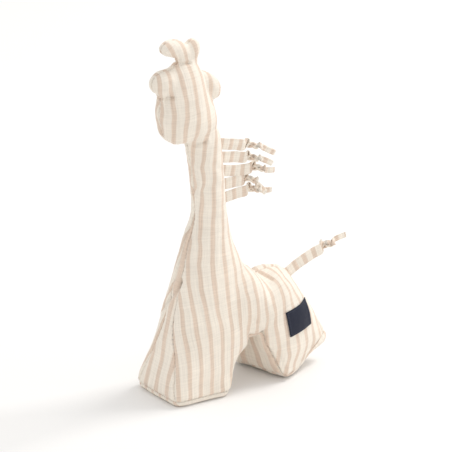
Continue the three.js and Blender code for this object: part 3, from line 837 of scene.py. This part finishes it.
def curve_through(points, pitch):
    """Evenly spaced points on a smooth curve through the given ones."""
    points = [Vector(point) for point in points]
    ends = [points[0] * 2 - points[1]] + points + [points[-1] * 2 - points[-2]]
    fine = []
    for a, b, c, d in zip(ends, ends[1:], ends[2:], ends[3:]):
        for i in range(CURVE_STEPS):
            t = i / CURVE_STEPS
            fine.append(0.5 * (
                2 * b + (c - a) * t + (2 * a - 5 * b + 4 * c - d) * t**2 + (3 * b - a - 3 * c + d) * t**3
            ))
    fine.append(points[-1])
    lengths = [0.0]
    for a, b in zip(fine, fine[1:]):
        lengths.append(lengths[-1] + (b - a).length)
    count = max(4, round(lengths[-1] / pitch))
    spots, k = [], 0
    for i in range(count + 1):
        wanted = lengths[-1] * i / count
        while k < len(fine) - 2 and lengths[k + 1] < wanted:
            k += 1
        share = (wanted - lengths[k]) / max(lengths[k + 1] - lengths[k], 1e-9)
        spots.append(fine[k].lerp(fine[k + 1], min(1, max(0, share))))
    return spots


def knot_points(along, up, middle):
    """An overhand knot's line: the long trefoil, laid along a direction."""
    out = along.cross(up)
    points = []
    for i in range(KNOT_STEPS + 1):
        t = KNOT_REACH * (2 * i / KNOT_STEPS - 1)
        x, y, z = t**3 - 3 * t, t**4 - 4 * t**2 + 1.6, t**5 - 9.6 * t
        spot = along * x * KNOT_LENGTH + up * y * KNOT_HEIGHT + out * z * KNOT_DEPTH
        points.append(middle + spot * KNOT_SIZE)
    return points


def eased(share):
    """A share held between 0 and 1, easing in and out."""
    share = min(1.0, max(0.0, share))
    return share * share * (3 - 2 * share)


def flat_side(wish, tangent, side):
    """Which way the strip lies flat: as wished, square to its line, turning slowly from the last side."""
    aim = (wish - tangent * wish.dot(tangent)).normalized()
    if side is not None:
        if aim.dot(side) < 0:
            aim = -aim
        aim = side.lerp(aim, SIDE_TURN)
        aim -= tangent * aim.dot(tangent)
    return aim.normalized()


def strip_ring(spot, side, out, half, thick, pleat, wave, seed):
    """One cross-section of the folded strip: a flat oval with rounded edges, pleated and waved."""
    ring = []
    wide, deep = EDGE_ROUNDNESS
    for s in range(RIBBON_SIDES):
        angle = 2 * math.pi * s / RIBBON_SIDES
        across = rounded(math.cos(angle), wide)
        depth = rounded(math.sin(angle), deep) * thick
        fold = pleat * math.cos(across * PLEAT["turns"] + seed) + wave
        ring.append(spot + side * across * half + out * (depth + fold))
    return ring


def ribbon_rings(spots, first, last, middle, width, seed):
    """The strip's cross-sections: flat, gathered into the knot, wrapped round its middle, and flat."""
    rings, side = [], None
    for i, spot in enumerate(spots):
        tangent = (spots[min(i + 1, len(spots) - 1)] - spots[max(i - 1, 0)]).normalized()
        before, after = (first - i) * RIBBON_STEP, (i - last) * RIBBON_STEP
        tight = eased(1 - max(before, after) / (GATHER_LENGTH if before > 0 else 0.5 * GATHER_LENGTH))
        wish = tangent.cross(spot - middle) if first <= i <= last else UPWARDS
        side = flat_side(wish, tangent, side)
        loose = LOOSE_BEFORE if i < (first + last) / 2 else LOOSE_AFTER
        pleat = PLEAT["after"]
        if before > 0:
            gathered = eased(1 - before / (PLEAT["reach"] * GATHER_LENGTH)) * (1 - tight)
            pleat = PLEAT["flat"] + PLEAT["gathered"] * gathered
        wave = WAVE["height"] * noise.noise(Vector((i * WAVE["fine"], seed, 0)))
        wave *= (1 - tight) * min(1, i / WAVE["starts"])
        half = width * (loose * (1 - tight) + TIED * tight)
        thick = FLAT_THICK + KNOT_THICKENS * tight
        rings.append(strip_ring(spot, side, tangent.cross(side), half, thick, pleat, wave, seed))
    return rings


def lay_ribbon(bm, count, first, last, width):
    """The strip's place on the flat cloth, and the shade in the folds of its knot."""
    lay = bm.loops.layers.uv.new(CLOTH_MAP)
    # Painted shade in the knot's folds, kept for the cloth's colour
    painted_crease_shade = bm.verts.layers.float.new("painted_crease_shade")
    folds = (first + 2, last - 2, (first + last) / 2)
    for i, vert in enumerate(bm.verts):
        row = min(i // RIBBON_SIDES, count - 1)
        away = min(abs(row - fold) for fold in folds) * RIBBON_STEP
        shown = 1.0 if math.sin(row * SHADE_TURN) > 0 else SHADE_LEFT
        vert[painted_crease_shade] = KNOT_SHADE * math.exp(-((away / SHADE_REACH) ** 2)) * shown
        round_it = (i % RIBBON_SIDES) / RIBBON_SIDES * 2 * width
        for loop in vert.link_loops:
            loop[lay].uv = (row * RIBBON_STEP * MM, round_it * MM)
    for face in bm.faces:
        rows = [loop[lay].uv.y for loop in face.loops]
        if max(rows) - min(rows) > width * MM:
            for loop in face.loops:
                if loop[lay].uv.y < width * MM:
                    loop[lay].uv.y += 2 * width * MM


def knotted_ribbon(name, line, width, cloth, seed, root_depth=ROOT_DEPTH):
    """A flat folded strip in the middle plane, tied in an overhand knot, with a frayed end.

    The line is (x, z) points from its joint and the place among them that the knot takes.
    """
    route, knot_at = line
    root = Vector(joint_of(name)["pos_m"]) / MM
    points = [Vector((root.x + x, 0, root.z + z)) for x, z in route]
    points[0] -= (points[1] - points[0]).normalized() * root_depth
    middle = points[knot_at]
    along = (points[knot_at + 1] - points[knot_at - 1]).normalized()
    up = along.cross(SIDEWAYS).normalized()
    tied = knot_points(along, up if up.z > 0 else -up, middle)
    spots = curve_through(points[:knot_at] + tied + points[knot_at + 1:], RIBBON_STEP)
    in_knot = [
        i for i, spot in enumerate(spots) if min((spot - point).length for point in tied) < NEAR_KNOT
    ]
    first, last = in_knot[0], in_knot[-1]
    bm = bmesh.new()
    loft(bm, ribbon_rings(spots, first, last, middle, width, seed))
    lay_ribbon(bm, len(spots), first, last, width)
    frays(bm, spots[-1], spots[-1] - spots[-3], width * LOOSE_AFTER, seed)
    bmesh.ops.recalc_face_normals(bm, faces=bm.faces)
    ribbon = cloth_piece(bm, name + "_cloth")
    ribbon.data.materials.append(cloth)
    return settled(ribbon, "SUBSURF", levels=1, render_levels=1)


def frays(bm, end, tangent, half, seed):
    """Loose threads at a ribbon's cut end."""
    along = tangent.normalized()
    across = along.cross(SIDEWAYS).normalized()
    leaning, sagging, spreading = FRAY_SWINGS
    for i in range(FRAY_COUNT):
        lean, sag, length = (math.sin(i * turn + seed) for turn in FRAY_TURNS)
        share = 2 * (i + 0.5) / FRAY_COUNT - 1
        start = end + across * share * half * FRAY_SPREAD - along * FRAY_ROOT + SIDEWAYS * lean * leaning
        droop = SIDEWAYS * sag * sagging + across * spreading * math.cos(i * FRAY_SPREAD_TURN + seed)
        reach = along * (FRAY_LENGTH + FRAY_EXTRA * length**2)
        rings = []
        for k, (far, down) in enumerate(((0, 0), FRAY_BEND, FRAY_TIP)):
            point = start + reach * far + droop * down
            thin = FRAY_THICK - FRAY_THINS * k
            rings.append([
                point + across * thin * math.cos(angle) + SIDEWAYS * thin * math.sin(angle)
                for angle in FRAY_CORNERS
            ])
        loft(bm, rings)


def ribbons():
    """Mane and tail, each on the joint that its ribbon turns about."""
    cloth = striped_linen("ribbon_linen", RIBBON_STRIPE, offset=0.3, share=RIBBON_STRIPE_SHARE)
    for i, line in enumerate(MANE):
        ribbon = knotted_ribbon(f"mane_{i + 1}", line, RIBBON_WIDTH, cloth, seed=1.7 * i)
        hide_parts(f"mane_ribbon_{i + 1}")
        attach(ribbon, f"mane_{i + 1}")
    ribbon = knotted_ribbon("tail", TAIL_LINE, TAIL_WIDTH, cloth, seed=9.1, root_depth=2 * ROOT_DEPTH)
    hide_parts("tail_ribbon")
    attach(ribbon, "tail")


def hem_height(across):
    """How far the label stands up at its folded side edge, and dips at its very end."""
    inside = LABEL["width"] / 2 - abs(across)
    folded_under = eased((LABEL["hem"] + HEM["step"] / 2 - inside) / HEM["step"])
    return HEM["rise"] * folded_under - HEM["dip"] * eased(1 - inside / HEM["edge"])


def sewn_label(skin):
    """The label: a grid laid on the skin, with its two side edges folded under."""
    skin_copy = bmesh_of(skin)
    cloth = BVHTree.FromBMesh(skin_copy)
    skin_copy.free()
    bm = bmesh.new()
    bmesh.ops.create_grid(bm, x_segments=LABEL_GRID[0], y_segments=LABEL_GRID[1], size=0.5)
    lay = bm.loops.layers.uv.new(CLOTH_MAP)
    turn = math.radians(LABEL["turn"])
    for vert in bm.verts:
        across, rise = vert.co.x * LABEL["width"], vert.co.y * LABEL["height"]
        for loop in vert.link_loops:
            loop[lay].uv = (across * MM, rise * MM)
        x = LABEL["x"] + across * math.cos(turn) - rise * math.sin(turn)
        z = LABEL["z"] + across * math.sin(turn) + rise * math.cos(turn)
        spot, normal, _, _ = cloth.ray_cast(Vector((x, -BEYOND_SKIN, z)), SIDEWAYS)
        wave = noise.noise(Vector((x * LABEL_WAVE["fine"], z * LABEL_WAVE["fine"], LABEL_WAVE["start"])))
        vert.co = spot + normal * (LABEL_LIFT + hem_height(across) + LABEL_WAVE["height"] * wave)
    bmesh.ops.smooth_vert(
        bm, verts=bm.verts, factor=0.5, use_axis_x=True, use_axis_y=True, use_axis_z=True
    )
    bmesh.ops.recalc_face_normals(bm, faces=bm.faces)
    if sum(face.normal.y * face.calc_area() for face in bm.faces) > 0:
        bmesh.ops.reverse_faces(bm, faces=bm.faces)
    label = cloth_piece(bm, "woven_label")
    settled(label, "SOLIDIFY", thickness=LABEL["thick"] * MM, offset=1)
    label.data.materials.append(navy_weave())
    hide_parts("label")
    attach(label, "body")


def rattle_capsule():
    """Finishes for the hidden capsule and its beads, whose shapes are the frame's own."""
    shell = moulded("capsule_plastic", (0.8, 0.79, 0.76, 1), roughness=0.42, grain=60.0, dimples=0.00006)
    bead = moulded("bead_plastic", (0.53, 0.06, 0.04, 1), roughness=0.18, grain=240.0, dimples=0.00001)
    for name, node in frame["nodes"].items():
        if name.endswith("capsule_half") or name.startswith("bead"):
            node.data.materials.clear()
            node.data.materials.append(shell if name.endswith("capsule_half") else bead)


class Wire:
    """A value inside a material. Arithmetic on it adds the nodes that work it out."""

    def __init__(self, finish, socket):
        self.finish = finish
        self.socket = socket

    def reckon(self, operation, *values):
        sockets = {i: value for i, value in enumerate(values)}
        return self.finish.node("Math", sockets, operation=operation)

    def __add__(self, other):
        return self.reckon("ADD", self, other)

    def __radd__(self, other):
        return self.reckon("ADD", other, self)

    def __sub__(self, other):
        return self.reckon("SUBTRACT", self, other)

    def __rsub__(self, other):
        return self.reckon("SUBTRACT", other, self)

    def __mul__(self, other):
        return self.reckon("MULTIPLY", self, other)

    def __rmul__(self, other):
        return self.reckon("MULTIPLY", other, self)

    def __truediv__(self, other):
        return self.reckon("DIVIDE", self, other)

    def sine(self):
        return self.reckon("SINE", self)

    def size(self):
        return self.reckon("ABSOLUTE", self)

    def fraction(self):
        return self.reckon("FRACT", self)

    def larger(self, other):
        return self.reckon("MAXIMUM", self, other)

    def smaller(self, other):
        return self.reckon("MINIMUM", self, other)


class Finish:
    """A material under construction."""

    def __init__(self, name):
        self.material = bpy.data.materials.new(name)
        self.material.use_nodes = True
        self.nodes = self.material.node_tree.nodes
        self.shader = self.nodes["Principled BSDF"]

    def join(self, socket, value):
        if isinstance(value, Wire):
            self.material.node_tree.links.new(value.socket, socket)
        else:
            socket.default_value = value

    def node(self, kind, sockets, output=0, **settings):
        """A node of a kind with its settings and the values or wires of its sockets."""
        made = self.nodes.new("ShaderNode" + kind)
        for key, value in settings.items():
            setattr(made, key, value)
        for key, value in sockets.items():
            self.join(made.inputs[key], value)
        return Wire(self, made.outputs[output])

    def flat_place(self):
        """Where a point lies on the flat cloth, in metres: across and along the stripes."""
        place = self.node("UVMap", {}, uv_map=CLOTH_MAP)
        return self.node("SeparateXYZ", {0: place}), self.node("SeparateXYZ", {0: place}, output=1)

    def pair(self, across, along):
        return self.node("CombineXYZ", {0: across, 1: along})

    def speckle(self, place, scale, detail=2.0):
        """Noise from 0 to 1."""
        return self.node("TexNoise", {"Vector": place, "Scale": scale, "Detail": detail})

    def between(self, share, first, second):
        """A colour between two others."""
        return self.node("Mix", {0: share, 6: first, 7: second}, output=2, data_type="RGBA")

    def ramp(self, value, low, high, at_low, at_high, **settings):
        """A value between low and high, laid over the range from at_low to at_high."""
        sockets = {0: value, 1: low, 2: high, 3: at_low, 4: at_high}
        return self.node("MapRange", sockets, **settings)

    def bump(self, height, strength, distance):
        return self.node("Bump", {"Strength": strength, "Distance": distance, "Height": height})

    def dress(self, **sockets):
        """Feeds the shader's own sockets, named in words with underscores."""
        for key, value in sockets.items():
            self.join(self.shader.inputs[key.replace("_", " ")], value)
        return self.material


def striped_linen(name, pitch, offset=0.0, share=STRIPE_SHARE):
    """Plain-woven linen with yarn-dyed stripes: uneven threads, soft stripe edges, a dry sheen."""
    finish = Finish(name)
    across, along = finish.flat_place()
    place = finish.pair(across, along)
    warp, weft = across / (THREAD * MM), along / (THREAD * MM)
    # How far a stripe wanders, how rough and how soft its edges are, and how the threads bow
    wander, fuzz, soft = 0.05, 0.22, 0.12
    crown, dip = 0.62, 0.38

    def threads(by_warp, by_weft):
        """Noise drawn out along the threads: how often it changes across each set of them."""
        return finish.speckle(finish.pair(warp * by_warp, weft * by_weft), 1.0)

    slub_warp, slub_weft = threads(0.9, 0.03), threads(0.03, 0.9)
    waver = (finish.speckle(place, 90.0) - 0.5) * wander
    stripe = (across / (pitch * MM) + (offset + waver)).fraction()
    edge = (stripe - 0.5).size() * 2 + (slub_warp - 0.5) * fuzz
    band = finish.ramp(edge, share - soft, share + soft, 1.0, 0.0, interpolation_type="SMOOTHSTEP")
    warp_wave, weft_wave = (warp * math.pi).sine(), (weft * math.pi).sine()
    over = warp_wave * weft_wave
    warp_round = warp_wave.size() * (crown + over * dip)
    weft_round = weft_wave.size() * (crown - over * dip)
    weave = warp_round.larger(weft_round)
    uneven = slub_warp + slub_weft - 1.0
    streaks = threads(0.42, 0.012) + threads(0.02, 0.4) * 0.6 - 0.8
    drift = streaks * 1.3 + (finish.speckle(place, 35.0) - 0.5) * 0.5
    cream = finish.between(0.6 + uneven * 1.1 + drift, shade(CREAM, 0.87), shade(CREAM, 1.06))
    beige = finish.between(0.5 + uneven * 1.2 + drift, shade(BEIGE, 0.88), shade(BEIGE, 1.1))
    # Painted shade: darker where the weave's threads dip between their crowns, and in the folds, seams and
    # knots
    painted_crease_shade = finish.node("Attribute", {}, output=2, attribute_name="painted_crease_shade")
    light = finish.ramp(weave, 0.15, 0.6, 0.88, 1.0) * (1 - painted_crease_shade * 0.6)
    colour = finish.between(band, cream, beige)
    finish.dress(Sheen_Weight=0.25, Sheen_Roughness=0.5, Specular_IOR_Level=0.25)
    return finish.dress(
        Base_Color=finish.node("HueSaturation", {"Value": light, "Color": colour}),
        Roughness=0.86 + uneven * 0.08,
        Normal=finish.bump(weave + uneven * 0.8, 0.5, 0.00022),
    )


def shade(colour, factor):
    return tuple(part * factor for part in colour[:3]) + (1,)


def navy_weave():
    """A bare ribbon label: fine close weave with a faint twill, and a run of stitches round it."""
    finish = Finish("navy_weave")
    across, rise = finish.flat_place()
    pitch = 0.32 * MM
    rib = ((across + rise) / pitch * math.pi).sine().size()
    weft = (rise / pitch * (2 * math.pi)).sine() * 0.5 + 0.5
    speck = finish.speckle(finish.pair(across, rise * 4.0), 900.0)
    half_width, half_height = LABEL["width"] / 2 * MM, LABEL["height"] / 2 * MM
    inside = (half_width - across.size()).smaller(half_height - rise.size())
    off_line = (inside - LABEL_STITCHES["inside"] * MM).size()
    along_dash = ((across + rise) / (LABEL_STITCHES["pitch"] * MM)).fraction()
    line = finish.ramp(off_line, 0.15 * MM, 0.3 * MM, 1.0, 0.0)
    stitch = line * finish.ramp(along_dash, 0.62, 0.72, 1.0, 0.0)
    tint = finish.between(speck * 0.6 + rib * 0.4, *NAVY)
    height = rib * 0.5 + weft * 0.2 + speck * 0.5 + stitch * 2.0
    finish.dress(Sheen_Weight=0.06, Sheen_Roughness=0.4, Specular_IOR_Level=0.25)
    return finish.dress(
        Base_Color=finish.between(stitch * 0.6, tint, NAVY_STITCH),
        Roughness=0.62 + (speck - 0.5) * 0.2,
        Normal=finish.bump(height, 0.5, 0.00015),
    )


def moulded(name, colour, roughness, grain, dimples):
    """Moulded plastic: a faint uneven gloss and tiny dimples."""
    finish = Finish(name)
    place = finish.node("TexCoord", {}, output=3)
    speck = finish.speckle(place, grain, 3.0)
    fine = finish.speckle(place, grain * 12, 2.0)
    return finish.dress(
        Base_Color=finish.between(speck, shade(colour, 0.95), shade(colour, 1.04)),
        Roughness=roughness + (speck - 0.5) * 0.1 + (fine - 0.5) * 0.06,
        Normal=finish.bump(speck + fine * 0.5, 0.4, dimples),
    )


def white_floor():
    """A white floor that keeps the toy's shadow."""
    bm = bmesh.new()
    bmesh.ops.create_grid(bm, x_segments=1, y_segments=1, size=FLOOR_HALF)
    floor = object_from(bm, "floor")
    finish = Finish("white_floor")
    by_camera = finish.node("LightPath", {})
    colour = finish.between(by_camera, FLOOR_THROWS, FLOOR_SEEN)
    finish.dress(Base_Color=colour, Roughness=1.0, Specular_IOR_Level=0.0)
    floor.data.materials.append(finish.material)


def lamp(name, power, size, place, colour):
    """A square soft light, aimed at the toy."""
    light = bpy.data.lights.new(name, "AREA")
    light.energy, light.size, light.color = power, size, colour
    made = placed(name, light)
    made.location = Vector(place)
    made.rotation_euler = (Vector(LIGHT_AIM) - made.location).to_track_quat("-Z", "Y").to_euler()


def studio():
    """The photograph's light: a white surround, with soft light from behind and from the right."""
    scene = bpy.context.scene
    scene.view_settings.view_transform = "Standard"
    scene.world = bpy.data.worlds.new("studio")
    scene.world.use_nodes = True
    sky = scene.world.node_tree.nodes["Background"].inputs
    sky["Color"].default_value = SKY
    sky["Strength"].default_value = SKY_STRENGTH
    lamp("key", power=8.5, size=0.4, place=(0.88, -0.03, 1.22), colour=(1, 0.98, 0.955))
    lamp("side", power=1.2, size=0.9, place=(1.15, -0.95, 0.75), colour=(1, 0.99, 0.97))
    white_floor()


def photograph_view():
    """A camera at the photograph's angle, a little from above, whose view has no perspective."""
    azimuth, elevation = math.radians(VIEW_AZIMUTH), math.radians(VIEW_ELEVATION)
    level = math.cos(elevation)
    right = Vector((math.cos(azimuth), math.sin(azimuth), 0))
    back = Vector((math.sin(azimuth) * level, -math.cos(azimuth) * level, math.sin(elevation)))
    up = back.cross(right)
    camera = placed("camera", bpy.data.cameras.new("camera"))
    camera.data.type = "ORTHO"
    camera.data.ortho_scale = VIEW_SIZE * MM
    camera.data.clip_end = CAMERA_SEES
    camera.location = (right * VIEW_ACROSS + up * VIEW_UP) * MM + back * CAMERA_AWAY
    camera.rotation_euler = Matrix((right, up, back)).transposed().to_euler()
    bpy.context.scene.camera = camera


def stuffed_body():
    """The sewn body with its label, its panels standing for all of the frame's soft solids."""
    skin = sewn_skin()
    unroll(skin)
    skin.data.uv_layers.active.name = CLOTH_MAP
    lay_grain(skin)
    settled(skin, "SUBSURF", levels=1, render_levels=1)
    work_surface(skin)
    linen = striped_linen("striped_linen", STRIPE_PITCH)
    stands_for = {
        "left_side": ["left_side_panel", "front_leg_filling", "neck_filling", "front_ear_filling",
                      "front_horn_filling"],
        "right_side": ["right_side_panel", "shoulder_filling", "head_filling", "rear_ear_filling",
                       "rear_horn_filling"],
        "chest": ["chest_gusset"],
        "belly": ["belly_gusset", "body_filling", "filling_plug"],
        "rump": ["rump_gusset", "rear_leg_filling"],
        "front_sole": ["front_sole"],
        "rear_sole": ["rear_sole"],
    }
    sewn_label(skin)
    for name, piece in panel_pieces(skin).items():
        piece.data.materials.clear()
        piece.data.materials.append(linen)
        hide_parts(*stands_for[name])
        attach(piece, "body")


studio()
photograph_view()
stuffed_body()
ribbons()
rattle_capsule()
